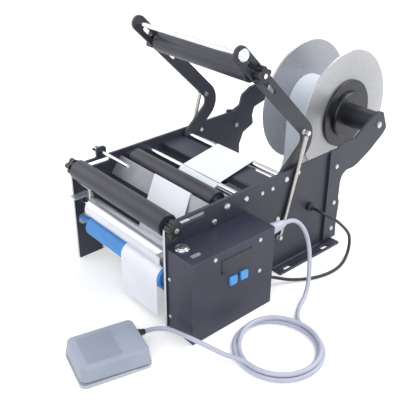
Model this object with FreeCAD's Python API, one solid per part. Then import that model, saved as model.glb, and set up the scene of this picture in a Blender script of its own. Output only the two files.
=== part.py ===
import FreeCAD, Part
import math
import os

# Bottle labelling machine. Millimetres. +X is the operator's right, +Y is the rear, +Z is up.
# Sizes are given from midway between the side plates (X), the plates' front edge (Y) and the floor (Z).
# The finished solids are moved so that the middle of the footprint is the origin.
originX = 16.55
originY = 186.25

# side plates
plateGap = 208.0
plateThick = 4.0
plateLength = 329.0
plateFrontHeight = 152.5
plateRearHeight = 158.0
plateFrontEase = 12.0
bendInner = 2.0
flangeReach = 17.0
flangeFront = 196.0
flangeRear = 329.0
footSlotWidth = 7.0
footSlotLength = 18.0
footSlotInset = 6.0
footSlotFrontY = 216.0
footSlotRearY = 300.0
earHeight = 168.0
earWidth = 16.0

# fits
runningGap = 0.06
softGap = 0.3
screwGap = 0.2
sideGap = 0.5

# rollers, all along X
bedShaftDia = 6.4
frontRollerY = 10.0
frontRollerZ = 146.3
frontRollerR = 14.5
frontRollerHalf = 101.0
frontSlotRearY = 62.0
frontSlotHeight = 7.0
knobR = 12.0
knobThick = 10.5
middleRollerY = 101.0
middleRollerZ = 142.0
middleRollerR = 14.0
middleRollerHalf = 89.5
middleShaftDia = 8.0
nipY = 13.0
pinchRollerR = 14.0
driveRollerZ = 65.6
driveRollerR = 15.2
nipGap = 0.9
nipLeft = -76.0
nipRight = 96.0
pinchShaftDia = 6.0
pinchTravel = 3.0
bracketReach = 14.0
driveShaftDia = 8.0
bearingDia = 16.0

# rods between the plates
guideRodY = 135.4
guideRodZ = 141.0
guideRodDia = 8.0
pivotY = 213.0
pivotZ = 144.7
pivotDia = 10.0
tieRodDia = 10.0
tieRodRearY = 200.3
tieRodRearZ = 86.1
tieRodFrontY = 30.0
tieRodFrontZ = 24.0

# peel blade and its bar
lipY = 84.0
lipZ = 146.0
bladeLength = 30.0
bladeSlope = 51.2
bladeThick = 2.4
bladeEndGap = 0.5
barDepth = 11.0
barHeight = 11.0

# web table
tableFrontY = 161.0
tableRearY = 200.5
tableZ = 144.6
tableThick = 2.0
tableDrop = 11.0
tableTabLength = 30.0

# web of labels on its backing paper
webThick = 0.3
webWidth = 78.0
webLeftAtReel = -34.0
webLeftAtGuide = -21.0
webLeftAtBlade = -21.0
webLeftAtNip = 14.0
loopY = 293.5
loopZ = 95.0
webEndZ = 9.0

# reel
reelY = 413.9
reelZ = 173.9
reelDiscR = 101.0
reelDiscThick = 3.0
reelDiscLeft = -37.5
reelDiscRight = 44.5
coreR = 38.0
coreWall = 3.0
rollR = 45.0
reelShaftDia = 12.0
hubFlangeR = 54.6
hubFlangeThick = 4.0
hubStepR = 37.0
hubStepThick = 6.0
bossR = 18.0

# press arm
armThick = 4.0
armWidth = 21.5
armInset = 1.5
armElbowY = 267.3
armElbowZ = 192.7
armTipY = 124.0
armTipZ = 334.0
armElbowOuterR = 33.0
armSlotWidth = 6.6
armSlotNear = 13.0
armSlotFar = 84.0
pressReach = 41.0
pressRollerR = 13.9
pressRollerHalf = 92.0
handleDia = 6.0
capDia = 16.0
capLength = 6.0
hookAlong = 177.0
hookIn = 5.9
hookDia = 4.0
stopPinDia = 6.0
stopPinAlong = 20.0
springX = 111.2
springDia = 5.6
anchorY = 204.0
anchorZ = 55.6

# bottle stop screw
stopScrewY = 51.5
stopScrewZ = 161.0
stopScrewDia = 5.0
stopScrewTip = -38.0
stopHeadX = -119.3
stopHeadLength = 8.0
stopHeadDia = 10.0

# control box
boxFront = 2.2
boxRear = 140.4
boxBottom = 0.6
boxTop = 119.5
boxOuter = 157.2
sheet = 1.5
windowY = 74.5
windowZ = 96.0
windowLength = 50.4
windowHeight = 18.6
buttonSize = 12.0
buttonFrontY = 67.6
buttonRearY = 86.2
buttonZ = 70.3
buttonTravel = 1.5
powerX = 120.5
powerY = 16.2
powerRingR = 9.4
powerButtonR = 7.0
portX = 142.7
portY = 19.0
socketX = 146.0
socketZ = 108.0

# drive
motorY = 70.0
motorZ = 48.0
motorSize = 57.0
motorLength = 52.0
motorPilotR = 19.0
motorShaftDia = 6.35
pulleyR = 7.0
pulleyX = 114.0
pulleyWidth = 8.0
beltThick = 1.4

# pedal
pedalX = 110.0
pedalY = -92.0
pedalTurn = -14.0
pedalWidth = 70.0
pedalLength = 90.0
pedalHeight = 29.0
pedalWall = 2.4
pedalCorner = 9.0
pedalPinDia = 4.0
pedalPinZ = 10.0
pedalPinInset = 14.0
pedalSeam = 5.0
pedalGlandX = -20.0
pedalGlandZ = 8.6
pedalLift = 3.4

# cords
pedalCableDia = 6.0
leadDia = 4.6
leadY = 268.0
leadZ = 82.0
coilX = 232.0
coilY = 77.0
coilOuterR = 58.0
coilInnerR = 44.5

half = plateGap / 2
outer = half + plateThick
bracketOuter = outer + plateThick
pinchRollerZ = driveRollerZ + driveRollerR + nipGap + pinchRollerR
V = FreeCAD.Vector


def box(x0, x1, y0, y1, z0, z1):
    return Part.makeBox(x1 - x0, y1 - y0, z1 - z0, V(x0, y0, z0))


def rod(y, z, radius, x0, x1):
    return Part.makeCylinder(radius, x1 - x0, V(x0, y, z), V(1, 0, 0))


def tube(y, z, radius, bore, x0, x1):
    return rod(y, z, radius, x0, x1).cut(rod(y, z, bore, x0 - 1, x1 + 1))


def fuse(shapes):
    return shapes[0].multiFuse(shapes[1:]).removeSplitter()


def mirror(shape):
    return shape.mirror(V(0, 0, 0), V(1, 0, 0))


def roundedWire(corners, place):
    # corners are (a, b, radius); each is cut by an arc tangent to both its sides
    edges = []
    ends = []
    count = len(corners)
    for i in range(count):
        a, b, radius = corners[i]
        here = V(a, b, 0)
        before = V(corners[i - 1][0], corners[i - 1][1], 0) - here
        after = V(corners[(i + 1) % count][0], corners[(i + 1) % count][1], 0) - here
        before.normalize()
        after.normalize()
        turn = before.getAngle(after)
        if radius <= 0:
            ends.append((here, here, None))
            continue
        cut = radius / math.tan(turn / 2)
        middle = before + after
        middle.normalize()
        middle = here + middle * (radius / math.sin(turn / 2) - radius)
        ends.append((here + before * cut, here + after * cut, middle))
    for i in range(count):
        start, end, middle = ends[i]
        if middle is not None:
            edges.append(Part.Arc(place(start.x, start.y), place(middle.x, middle.y), place(end.x, end.y)).toShape())
        following = ends[(i + 1) % count][0]
        if (following - end).Length > 1e-6:
            edges.append(Part.LineSegment(place(end.x, end.y), place(following.x, following.y)).toShape())
    return Part.Wire(edges)


def profileX(corners, x0, x1):
    wire = roundedWire(corners, lambda a, b: V(x0, a, b))
    return Part.Face(wire).extrude(V(x1 - x0, 0, 0))


def profileZ(corners, z0, z1):
    wire = roundedWire(corners, lambda a, b: V(a, b, z0))
    return Part.Face(wire).extrude(V(0, 0, z1 - z0))


def slotX(y0, z0, y1, z1, width, x0, x1):
    along = V(0, y1 - y0, z1 - z0)
    along.normalize()
    across = V(0, -along.z, along.y) * (width / 2)
    a = V(x0, y0, z0)
    b = V(x0, y1, z1)
    edges = [Part.LineSegment(a + across, b + across).toShape(),
             Part.Arc(b + across, b + along * (width / 2), b - across).toShape(),
             Part.LineSegment(b - across, a - across).toShape(),
             Part.Arc(a - across, a - along * (width / 2), a + across).toShape()]
    return Part.Face(Part.Wire(edges)).extrude(V(x1 - x0, 0, 0))


def turned(points, y, z):
    # points are (x, radius) of a closed outline, turned about the X line through (y, z)
    outline = Part.makePolygon([V(x, y, z + radius) for x, radius in points + points[:1]])
    return Part.Face(outline).revolve(V(0, y, z), V(1, 0, 0), 360)


def buttonHead(x, y, z, radius, side):
    # low domed head that sits on the plane at x and faces away from the middle
    height = radius * 0.62
    points = [(0, 0), (0, radius), (height * 0.55, radius * 0.93), (height * 0.9, radius * 0.6), (height, 0)]
    return turned([(x + side * step, r) for step, r in points], y, z)


def capScrew(y, z, headR, shankR, faceX, depth, side):
    inner = faceX - side * depth
    shank = rod(y, z, shankR, min(faceX, inner), max(faceX, inner))
    return fuse([buttonHead(faceX, y, z, headR, side), shank])


def starKnob(y, z, x0, side):
    # five lobes on a hub, bored for the threaded end of a roller shaft
    x1 = x0 + side * knobThick
    low, high = min(x0, x1), max(x0, x1)
    lobe = knobR * 0.33
    parts = [rod(y, z, knobR * 0.72, low, high)]
    for i in range(5):
        angle = math.radians(90 + 72 * i)
        reach = knobR - lobe
        parts.append(rod(y + reach * math.cos(angle), z + reach * math.sin(angle), lobe, low, high))
    knob = fuse(parts)
    return knob.cut(rod(y, z, bedShaftDia / 2 + runningGap, low - 1, high + 1))


def tubeAlong(points, diameter, name):
    # straight runs joined by arcs as large as the shorter run allows
    points = [V(*p) for p in points]
    edges = []
    radii = []
    cursor = points[0]
    length = 0.0
    for i in range(1, len(points) - 1):
        before = points[i - 1] - points[i]
        after = points[i + 1] - points[i]
        shorter = min(before.Length, after.Length)
        before.normalize()
        after.normalize()
        turn = math.pi - before.getAngle(after)
        cut = 0.45 * shorter
        radius = cut / math.tan(turn / 2)
        radii.append(radius)
        start = points[i] + before * cut
        end = points[i] + after * cut
        middle = before + after
        middle.normalize()
        middle = points[i] + middle * (radius / math.cos(turn / 2) - radius)
        edges.append(Part.LineSegment(cursor, start).toShape())
        edges.append(Part.Arc(start, middle, end).toShape())
        cursor = end
    edges.append(Part.LineSegment(cursor, points[-1]).toShape())
    path = Part.Wire(edges)
    length = sum(edge.Length for edge in path.Edges)
    direction = points[1] - points[0]
    circle = Part.Wire([Part.Circle(points[0], direction, diameter / 2).toShape()])
    solid = path.makePipeShell([circle], True, False)
    expected = math.pi * diameter ** 2 / 4 * length
    print(name, "radii", [round(r, 1) for r in radii], "volume ratio", round(solid.Volume / expected, 4))
    return solid


# ---- plates and brackets

plateHoles = [
    (guideRodY, guideRodZ, 2.0),
    (pivotY, pivotZ, 2.0),
    (tieRodRearY, tieRodRearZ, 2.0),
    (tieRodFrontY, tieRodFrontZ, 2.0),
    (middleRollerY, middleRollerZ, 2.5),
]
tableScrews = [(tableFrontY + 5.0, tableZ - 5.5), (tableFrontY + 25.0, tableZ - 5.5)]
bracketScrews = [(319.0, 132.6), (321.6, 71.0), (321.5, 25.6)]


def bladeFrame():
    # direction up the blade, and the direction from its front face to its back
    slope = math.radians(bladeSlope)
    up = V(0, math.cos(slope), math.sin(slope))
    back = V(0, math.sin(slope), -math.cos(slope))
    return up, back


def bladePoint(upAlong, backward):
    up, back = bladeFrame()
    low = V(0, lipY, lipZ) - up * bladeLength
    return low + up * upAlong + back * backward


def barCentre():
    return bladePoint(13.0, bladeThick + barDepth / 2)


def rearTopAt(y):
    return plateFrontHeight + (plateRearHeight - plateFrontHeight) * y / plateLength


def screwHoles():
    bar = barCentre()
    return plateHoles + [(bar.y, bar.z, 2.0)] + [(y, z, 1.5) for y, z in tableScrews]


def sidePlate(side):
    # drawn as the right plate; the left one is its mirror image with the ear for the stop screw
    corners = [(0, 0, 2), (plateLength, 0, 3), (plateLength, plateRearHeight, 4)]
    if side < 0:
        corners += [(stopScrewY + earWidth / 2, rearTopAt(stopScrewY + earWidth / 2), 2),
                    (stopScrewY + earWidth / 2, earHeight, 4),
                    (stopScrewY - earWidth / 2, earHeight, 4),
                    (stopScrewY - earWidth / 2, rearTopAt(stopScrewY - earWidth / 2), 2)]
    corners += [(0, plateFrontHeight, plateFrontEase)]
    plate = profileX(corners, half, outer)
    flange = box(half, outer + flangeReach, flangeFront, flangeRear, 0, plateThick)
    bend = box(outer - 0.5, outer + bendInner, flangeFront, flangeRear, plateThick - 0.5, plateThick + bendInner)
    bend = bend.cut(Part.makeCylinder(bendInner, flangeRear - flangeFront + 2,
                                      V(outer + bendInner, flangeFront - 1, plateThick + bendInner), V(0, 1, 0)))
    plate = fuse([plate, flange, bend])
    cuts = []
    slotX0, slotX1 = half - 1, outer + 1
    cuts.append(slotX(frontRollerY, frontRollerZ, frontSlotRearY, frontRollerZ, frontSlotHeight, slotX0, slotX1))
    pinchSlot = pinchShaftDia + 2 * runningGap
    cuts.append(slotX(nipY, pinchRollerZ, nipY, pinchRollerZ + pinchTravel, pinchSlot, slotX0, slotX1))
    cuts.append(rod(nipY, driveRollerZ, bearingDia / 2, slotX0, slotX1))
    for y, z, radius in screwHoles():
        cuts.append(rod(y, z, radius + screwGap, slotX0, slotX1))
    for y, z in bracketScrews:
        cuts.append(rod(y, z, 2.0 + screwGap, slotX0, slotX1))
    cuts.append(rod(anchorY, anchorZ, 2.0 + screwGap, slotX0, slotX1))
    pin = stopPinPlace()
    cuts.append(rod(pin.y, pin.z, 2.0 + screwGap, slotX0, slotX1))
    slotCentreX = outer + flangeReach - footSlotInset
    for y in (footSlotFrontY, footSlotRearY):
        reach = footSlotLength / 2 - footSlotWidth / 2
        cuts.append(box(slotCentreX - footSlotWidth / 2, slotCentreX + footSlotWidth / 2, y - reach, y + reach, -1, plateThick + 1))
        for end in (y - reach, y + reach):
            cuts.append(Part.makeCylinder(footSlotWidth / 2, plateThick + 2, V(slotCentreX, end, -1)))
    if side > 0:
        cuts.append(rod(motorY, motorZ, motorPilotR + screwGap, slotX0, slotX1))
        cuts.append(rod(leadY, leadZ, 5.0 + screwGap, slotX0, slotX1))
    else:
        cuts.append(rod(stopScrewY, stopScrewZ, stopScrewDia / 2 + runningGap, slotX0, slotX1))
    plate = plate.cut(Part.makeCompound(cuts)).removeSplitter()
    return plate if side > 0 else mirror(plate)


def armFrame():
    # direction from the tip of the arm to its elbow, and the direction out of the bend
    along = V(0, armElbowY - armTipY, armElbowZ - armTipZ)
    along.normalize()
    return along, V(0, along.z, -along.y)


def armPoint(distance, inward):
    along, across = armFrame()
    return V(0, armTipY, armTipZ) + along * distance + across * inward


def stopPinPlace():
    lower = V(0, armElbowY - pivotY, armElbowZ - pivotZ)
    lower.normalize()
    below = V(0, lower.z, -lower.y)
    return V(0, pivotY, pivotZ) + lower * stopPinAlong + below * (armWidth / 2 + softGap + stopPinDia / 2)


def reelBracket(side):
    corners = [(303, 162, 3), (318, 160, 3), (328, 166, 6), (359, 167, 6), (372, 175, 8), (391, 187, 8),
               (409, 196, 8), (422, 193, 8), (436, 164, 6), (428, 155, 6), (400, 136, 10), (372, 122, 10),
               (361, 119, 6), (344, 119, 6), (335, 113, 8), (332, 102, 6), (332, 76, 4), (335, 68, 4),
               (333, 30, 6), (335, 7, 2), (305, 7, 4)]
    if side < 0:
        corners = [(303, 162, 3), (318, 158, 3), (332, 163, 4), (337, 180, 4), (356, 190, 6), (409, 196, 8),
                   (422, 193, 8), (436, 164, 6), (428, 155, 6), (390, 158, 6), (366, 152, 6), (362, 138, 6),
                   (365, 122, 4), (355, 117, 4), (342, 112, 4), (333, 92, 6), (335, 7, 2), (305, 7, 4)]
    bracket = profileX(corners, outer, bracketOuter)
    cuts = [rod(reelY, reelZ, 3.0 + screwGap, outer - 1, bracketOuter + 1)]
    for y, z in bracketScrews:
        cuts.append(rod(y, z, 2.0 + screwGap, outer - 1, bracketOuter + 1))
    bracket = bracket.cut(Part.makeCompound(cuts))
    return bracket if side > 0 else mirror(bracket)


# ---- rods between the plates

def crossRod(y, z, diameter, tapR):
    body = rod(y, z, diameter / 2, -half, half)
    taps = [rod(y, z, tapR + screwGap, half - 9, half + 1), rod(y, z, tapR + screwGap, -half - 1, 9 - half)]
    return body.cut(Part.makeCompound(taps))


def peelBlade():
    inset = half - bladeEndGap
    corners = [(0, 0), (bladeLength - bladeThick / 2, 0), (bladeLength - bladeThick / 2, bladeThick), (0, bladeThick)]
    points = [bladePoint(a, b) + V(-inset, 0, 0) for a, b in corners]
    sheetPart = Part.Face(Part.makePolygon(points + points[:1])).extrude(V(2 * inset, 0, 0))
    lip = bladePoint(bladeLength - bladeThick / 2, bladeThick / 2)
    return fuse([sheetPart, rod(lip.y, lip.z, bladeThick / 2, -inset, inset)])


def peelBar():
    low, high = 13.0 - barHeight / 2, 13.0 + barHeight / 2
    corners = [(low, bladeThick), (high, bladeThick), (high, bladeThick + barDepth), (low, bladeThick + barDepth)]
    points = [bladePoint(a, b) + V(-half, 0, 0) for a, b in corners]
    bar = Part.Face(Part.makePolygon(points + points[:1])).extrude(V(2 * half, 0, 0))
    centre = barCentre()
    taps = [rod(centre.y, centre.z, 2.0 + screwGap, half - 9, half + 1),
            rod(centre.y, centre.z, 2.0 + screwGap, -half - 1, 9 - half)]
    return bar.cut(Part.makeCompound(taps))


def webTable():
    low = tableZ - tableThick
    corners = [(tableFrontY, tableZ - tableDrop, 0), (tableFrontY, tableZ, 3.0), (tableRearY, tableZ, 0),
               (tableRearY, low, 0), (tableFrontY + tableThick, low, 1.0), (tableFrontY + tableThick, tableZ - tableDrop, 0)]
    parts = [profileX(corners, -half, half)]
    for side in (1, -1):
        x0, x1 = sorted((side * half, side * (half - tableThick)))
        parts.append(box(x0, x1, tableFrontY + tableThick, tableFrontY + tableTabLength, tableZ - tableDrop, low + 0.5))
    table = fuse(parts)
    holes = []
    for y, z in tableScrews:
        holes.append(rod(y, z, 1.5 + screwGap, -half - 1, half + 1))
    return table.cut(Part.makeCompound(holes))


def plateScrews():
    # through the plates into the ends of the rods, the bar and the table's tabs
    parts = []
    for side in (1, -1):
        for y, z, radius in screwHoles():
            depth = plateThick + (8.0 if (y, z) not in tableScrews else tableThick + 1.5)
            parts.append(capScrew(y, z, radius * 2.1, radius, side * outer, depth, side))
    return Part.makeCompound(parts)


def bracketBolts():
    parts = []
    for side in (1, -1):
        for y, z in bracketScrews:
            nut = turned([(side * half, 0), (side * half, 3.8), (side * (half - 3.0), 3.8), (side * (half - 3.0), 0)], y, z)
            parts.append(fuse([capScrew(y, z, 3.8, 2.0, side * bracketOuter, 2 * plateThick + 4.0, side), nut]))
    return Part.makeCompound(parts)


def stopPins():
    pin = stopPinPlace()
    parts = []
    for side in (1, -1):
        body = rod(pin.y, pin.z, stopPinDia / 2, *sorted((side * (half - armInset - armThick - 1.0), side * half)))
        shank = rod(pin.y, pin.z, 2.0, *sorted((side * half, side * (outer + 0.0))))
        head = buttonHead(side * outer, pin.y, pin.z, 3.6, side)
        parts.append(fuse([body, shank, head]))
    return Part.makeCompound(parts)


def anchorScrews():
    parts = []
    for side in (1, -1):
        neck = rod(anchorY, anchorZ, 2.0, *sorted((side * (half - 4.0), side * (springX + 1.6))))
        head = turned([(side * (springX + 1.6), 0), (side * (springX + 1.6), 3.6), (side * (springX + 3.2), 3.2), (side * (springX + 3.6), 0)], anchorY, anchorZ)
        collar = rod(anchorY, anchorZ, 3.4, *sorted((side * outer, side * (outer + 1.0))))
        nut = rod(anchorY, anchorZ, 3.8, *sorted((side * half, side * (half - 3.0))))
        parts.append(fuse([neck, head, collar, nut]))
    return Part.makeCompound(parts)


# ---- bottle bed and label drive

def hollowRoller(y, z, radius, bore, x0, x1, capDepth=6.0):
    # tube with a chamfered mouth and a recessed end plug at each end
    edge = 1.0
    points = [(x0, bore), (x0, radius * 0.62), (x0 + 1.2, radius * 0.62), (x0 + 1.2, radius * 0.78), (x0, radius * 0.78),
              (x0, radius - edge), (x0 + edge, radius), (x1 - edge, radius), (x1, radius - edge),
              (x1, radius * 0.78), (x1 - 1.2, radius * 0.78), (x1 - 1.2, radius * 0.62), (x1, radius * 0.62), (x1, bore)]
    return turned(points, y, z)


def frontShaft():
    reach = outer + knobThick + 1.0
    return rod(frontRollerY, frontRollerZ, bedShaftDia / 2, -reach, reach)


def pinchBracket(side):
    # light sheet angle on the plate: a top flange round the spring and a leg behind the shaft
    depth = half - nipRight - sideGap if side > 0 else bracketReach
    low = pinchRollerZ + 11.0
    parts = [box(half - depth, half, nipY - 19.0, nipY + 11.0, low, low + 2.0),
             box(half - depth, half, nipY + 5.0, nipY + 11.0, pinchRollerZ - 8.0, low + 1.0)]
    bracket = fuse(parts)
    bracket = bracket.cut(Part.makeCylinder(3.4, 20.0, V(abs(springSeatX(side)), nipY, low - 10.0)))
    return bracket if side > 0 else mirror(bracket)


def springSeats():
    # one angle on each plate under the front roller carries the top of a pinch spring
    parts = []
    for side in (1, -1):
        near = springSeatX(side)
        x0, x1 = sorted((side * half, near - side * 5.0))
        top = pinchRollerZ + 29.5
        parts.append(box(x0, x1, nipY - 5.0, nipY + 5.0, top, top + 2.0))
    return Part.makeCompound(parts)


def springSeatX(side):
    return nipRight + 3.6 if side > 0 else nipLeft - 4.0


def pinchSpring(side):
    x = springSeatX(side)
    low = pinchRollerZ + pinchShaftDia / 2 + 1.5
    high = pinchRollerZ + 29.5
    return Part.makeCylinder(2.6, high - low, V(x, nipY, low)).cut(Part.makeCylinder(1.8, high - low + 2, V(x, nipY, low - 1)))


def pinchShaft():
    body = rod(nipY, pinchRollerZ, pinchShaftDia / 2, -outer, outer)
    parts = [body]
    for side in (1, -1):
        x = springSeatX(side)
        parts.append(Part.makeCylinder(2.8, 1.6, V(x, nipY, pinchRollerZ + pinchShaftDia / 2 - 0.1)))
        parts.append(Part.makeCylinder(1.5, 8.0, V(x, nipY, pinchRollerZ)))
    return fuse(parts)


def driveRoller():
    shaft = rod(nipY, driveRollerZ, driveShaftDia / 2, -outer, pulleyX + pulleyWidth)
    return fuse([hollowRoller(nipY, driveRollerZ, driveRollerR, driveShaftDia / 2 - 0.5, nipLeft, nipRight), shaft])


def driveBearings():
    parts = []
    for side in (1, -1):
        ring = tube(nipY, driveRollerZ, bearingDia / 2, driveShaftDia / 2 + runningGap, *sorted((side * half, side * outer)))
        lip = tube(nipY, driveRollerZ, bearingDia / 2 + 1.0, driveShaftDia / 2 + runningGap, *sorted((side * (half - 1.2), side * half)))
        parts.append(fuse([ring, lip]))
    return Part.makeCompound(parts)


def driveMotor():
    x1 = half
    x0 = half - motorLength
    s = motorSize / 2
    corners = [(motorY - s, motorZ - s, 5), (motorY + s, motorZ - s, 5), (motorY + s, motorZ + s, 5), (motorY - s, motorZ + s, 5)]
    ends = [profileX(corners, x0, x0 + 9), profileX(corners, x1 - 9, x1)]
    t = s - 1.2
    inner = [(motorY - t, motorZ - t, 9), (motorY + t, motorZ - t, 9), (motorY + t, motorZ + t, 9), (motorY - t, motorZ + t, 9)]
    return fuse(ends + [profileX(inner, x0 + 9, x1 - 9), rod(motorY, motorZ, motorPilotR, x1, x1 + 1.6)])


def pulley(y, z, bore):
    x0, x1 = pulleyX, pulleyX + pulleyWidth
    rim = pulleyR + 1.2
    return turned([(x0, bore), (x0, rim), (x0 + 1.0, rim), (x0 + 1.0, pulleyR), (x1 - 1.0, pulleyR), (x1 - 1.0, rim), (x1, rim), (x1, bore)], y, z)


def motorPulley():
    spindle = rod(motorY, motorZ, motorShaftDia / 2, half + 2.0, pulleyX + pulleyWidth)
    return fuse([pulley(motorY, motorZ, motorShaftDia / 2 - 0.5), spindle])


def driveBelt():
    gap = softGap
    x0, x1 = pulleyX + 1.0 + gap, pulleyX + pulleyWidth - 1.0 - gap
    inside = pulleyR + gap
    out = slotX(nipY, driveRollerZ, motorY, motorZ, 2 * (inside + beltThick), x0, x1)
    return out.cut(slotX(nipY, driveRollerZ, motorY, motorZ, 2 * inside, x0 - 1, x1 + 1))


# ---- web of labels

def webPath():
    # circles (y, z, radius of the web's middle, turn) that the web runs round, reel first
    off = softGap + webThick / 2
    lip = bladePoint(bladeLength - bladeThick / 2, bladeThick / 2)
    loopR = reelY - rollR - off - loopY
    return [
        (reelY, reelZ, rollR + off, 1),
        (loopY, loopZ, loopR, -1),
        (pivotY, pivotZ, pivotDia / 2 + off, 1),
        (guideRodY, guideRodZ, guideRodDia / 2 + off, 1),
        (middleRollerY, middleRollerZ, middleRollerR + off, -1),
        (lip.y, lip.z, bladeThick / 2 + off, 1),
        (nipY, pinchRollerZ, pinchRollerR + off, -1),
        (nipY, driveRollerZ, driveRollerR + off, 1),
    ]


def webRuns():
    # tangent points of each straight run between two circles
    runs = []
    path = webPath()
    for (ay, az, ar, at), (by, bz, br, bt) in zip(path, path[1:]):
        gap = V(0, by - ay, bz - az)
        bearing = math.atan2(gap.z, gap.y) - math.asin(round((br * bt - ar * at) / gap.Length, 9))
        left = V(0, -math.sin(bearing), math.cos(bearing))
        runs.append((V(0, ay, az) - left * (ar * at), V(0, by, bz) - left * (br * bt), bearing))
    return runs


def webStrip(start, end, leftStart, leftEnd):
    way = end - start
    way.normalize()
    across = V(0, -way.z, way.y) * (webThick / 2)
    wires = []
    for point, left in ((start, leftStart), (end, leftEnd)):
        corners = [point + across + V(left, 0, 0), point + across + V(left + webWidth, 0, 0),
                   point - across + V(left + webWidth, 0, 0), point - across + V(left, 0, 0)]
        wires.append(Part.makePolygon(corners + corners[:1]))
    return Part.makeLoft(wires, True, True)


def webBend(centre, radius, turn, bearingIn, bearingOut, left):
    # annular strip from the heading bearingIn to the heading bearingOut round one circle
    def at(angle, r):
        return V(left, centre[0], centre[1]) - V(0, -math.sin(angle), math.cos(angle)) * (r * turn)
    middle = (bearingIn + bearingOut) / 2
    small, large = radius - webThick / 2, radius + webThick / 2
    edges = [Part.Arc(at(bearingIn, small), at(middle, small), at(bearingOut, small)).toShape(),
             Part.LineSegment(at(bearingOut, small), at(bearingOut, large)).toShape(),
             Part.Arc(at(bearingOut, large), at(middle, large), at(bearingIn, large)).toShape(),
             Part.LineSegment(at(bearingIn, large), at(bearingIn, small)).toShape()]
    return Part.Face(Part.Wire(edges)).extrude(V(webWidth, 0, 0))


def webSolids():
    path = webPath()
    runs = webRuns()
    lefts = [webLeftAtReel, webLeftAtReel, webLeftAtReel, webLeftAtGuide, webLeftAtBlade, webLeftAtBlade, webLeftAtNip, webLeftAtNip]
    pieces = []
    for i, (start, end, bearing) in enumerate(runs[:-1]):
        pieces.append(webStrip(start, end, lefts[i], lefts[i + 1]))
        bearingNext = runs[i + 1][2]
        turn = path[i + 1][3]
        while (bearingNext - bearing) * turn < 0:
            bearingNext += turn * 2 * math.pi
        pieces.append(webBend(path[i + 1][:2], path[i + 1][2], turn, bearing, bearingNext, lefts[i + 1]))
    lastY, lastZ, lastR, turn = path[-1]
    bearing = runs[-1][2]
    pieces.append(webStrip(runs[-1][0], runs[-1][1], lefts[-2], lefts[-1]) if (runs[-1][1] - runs[-1][0]).Length > 0.01 else None)
    while bearing < 0:
        bearing += 2 * math.pi
    pieces.append(webBend((lastY, lastZ), lastR, turn, bearing, 1.5 * math.pi, lefts[-1]))
    pieces.append(webStrip(V(0, lastY - lastR, lastZ), V(0, lastY - lastR, webEndZ), lefts[-1], lefts[-1]))
    pieces = [piece for piece in pieces if piece is not None]
    split = 9
    return fuse(pieces[:split]), fuse(pieces[split:])


def labelSensor():
    # reflective eye screwed under the table, looking up through it
    x = webLeftAtGuide + webWidth / 2
    body = box(x - 6, x + 6, tableFrontY + 10, tableFrontY + 28, tableZ - tableThick - 26, tableZ - tableThick)
    return body


# ---- reel

def reelDisc(x0, inner):
    x1 = x0 + reelDiscThick
    disc = turned([(x0, inner), (x0, reelDiscR - 0.8), (x0 + 0.8, reelDiscR), (x1 - 0.8, reelDiscR), (x1, reelDiscR - 0.8), (x1, inner)], reelY, reelZ)
    return disc


def reelHub():
    # sleeve on the shaft, flange against the right disc, step and long boss
    bore = reelShaftDia / 2 + runningGap
    face = reelDiscRight + reelDiscThick
    stepEnd = face + hubFlangeThick
    bossStart = stepEnd + hubStepThick
    end = outer - sideGap
    drum = coreR - coreWall - 0.1
    points = [(reelDiscLeft + reelDiscThick, bore), (reelDiscLeft + reelDiscThick, drum), (reelDiscRight, drum), (reelDiscRight, 12.0),
              (face, 12.0), (face, hubFlangeR - 1), (face + 1, hubFlangeR), (stepEnd - 1, hubFlangeR), (stepEnd, hubFlangeR - 1),
              (stepEnd, hubStepR), (bossStart - 2, hubStepR), (bossStart, hubStepR - 2), (bossStart, bossR),
              (end - 1, bossR), (end, bossR - 1), (end, bore)]
    return turned(points, reelY, reelZ)


def leftHub():
    bore = reelShaftDia / 2 + runningGap
    x0 = reelDiscLeft
    return turned([(x0, bore), (x0, 30.0), (x0 - 3, 30.0), (x0 - 4, 14.0), (x0 - 12, 13.0), (x0 - 12, bore)], reelY, reelZ)


def reelShaft():
    return crossRodBetween(reelY, reelZ, reelShaftDia, 3.0, outer)


def crossRodBetween(y, z, diameter, tapR, reach):
    body = rod(y, z, diameter / 2, -reach, reach)
    taps = [rod(y, z, tapR + screwGap, reach - 12, reach + 1), rod(y, z, tapR + screwGap, -reach - 1, 12 - reach)]
    return body.cut(Part.makeCompound(taps))


def reelBolts():
    return Part.makeCompound([capScrew(reelY, reelZ, 5.4, 3.0, side * bracketOuter, plateThick + 10.0, side) for side in (1, -1)])


# ---- press arm

def armOutline():
    lower = V(0, armElbowY - pivotY, armElbowZ - pivotZ)
    lower.normalize()
    lowerOut = V(0, lower.z, -lower.y)
    along, across = armFrame()
    upperOut = across * -1
    h = armWidth / 2
    pivot = V(0, pivotY, pivotZ)
    elbow = V(0, armElbowY, armElbowZ)
    tip = V(0, armTipY, armTipZ)
    bend = lowerOut + upperOut
    bend.normalize()
    reach = h / (bend.dot(lowerOut))
    e = h - 0.05
    points = [(pivot - lower * h + lowerOut * h, e), (elbow + bend * reach, armElbowOuterR), (tip - along * h + upperOut * h, e),
              (tip - along * h - upperOut * h, e), (elbow - bend * reach, armElbowOuterR - armWidth), (pivot - lower * h - lowerOut * h, e)]
    return [(p.y, p.z, r) for p, r in points]


def pressArm(side):
    x1 = half - armInset
    x0 = x1 - armThick
    arm = profileX(armOutline(), x0, x1)
    near = armPoint(armSlotNear, 0)
    far = armPoint(armSlotFar, 0)
    hook = armPoint(hookAlong, hookIn)
    cuts = [rod(pivotY, pivotZ, pivotDia / 2 + runningGap, x0 - 1, x1 + 1),
            slotX(near.y, near.z, far.y, far.z, armSlotWidth, x0 - 1, x1 + 1),
            rod(hook.y, hook.z, hookDia / 2, x0 - 1, x1 + 1),
            rod(armTipY, armTipZ, handleDia / 2 - 1.0, x0 - 1, x1 + 1)]
    arm = arm.cut(Part.makeCompound(cuts))
    return arm if side > 0 else mirror(arm)


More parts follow.
